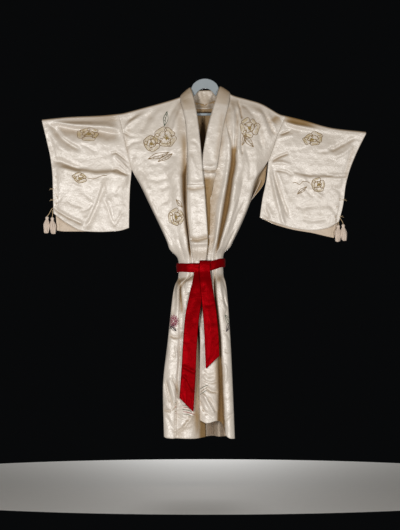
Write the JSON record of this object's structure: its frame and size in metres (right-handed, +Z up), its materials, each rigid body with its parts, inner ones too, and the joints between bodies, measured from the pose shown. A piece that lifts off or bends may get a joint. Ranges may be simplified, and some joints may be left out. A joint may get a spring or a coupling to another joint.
{
  "type": "kimono on a hanger",
  "caption": "Ankle-length satin kimono hung on a plain hanger, sleeves spread, a narrow sash tied at the waist and tassels at the sleeve corners.",
  "frame": {"origin": "top of the hanger's arch, where it is held up", "axes": "+Z up along the kimono's length, +Y from its front to its back, +X to the right of someone facing its front"},
  "size_m": [1.2962, 0.1792, 1.4384],
  "materials": {
    "satin": "cream satin, warm in the folds, with a soft sheen",
    "sash_satin": "deep red satin",
    "tassel_silk": "ivory silk floss",
    "hanger_plastic": "pale blue-grey moulded plastic"
  },
  "bodies": {
    "root": {"body_right": "satin", "body_left": "satin", "overlap_right": "satin", "overlap_left": "satin", "sleeve_right": "satin", "sleeve_left": "satin", "collar": "satin", "over_collar": "satin", "sash_loop": "sash_satin", "sash_knot": "sash_satin", "sash_tail_right": "sash_satin", "sash_tail_left": "sash_satin", "tassel_right_outer": "tassel_silk", "tassel_right_inner": "tassel_silk", "tassel_left_inner": "tassel_silk", "tassel_left_outer": "tassel_silk", "hanger_arms": "hanger_plastic", "hanger_bar": "hanger_plastic"}
  },
  "joints": []
}
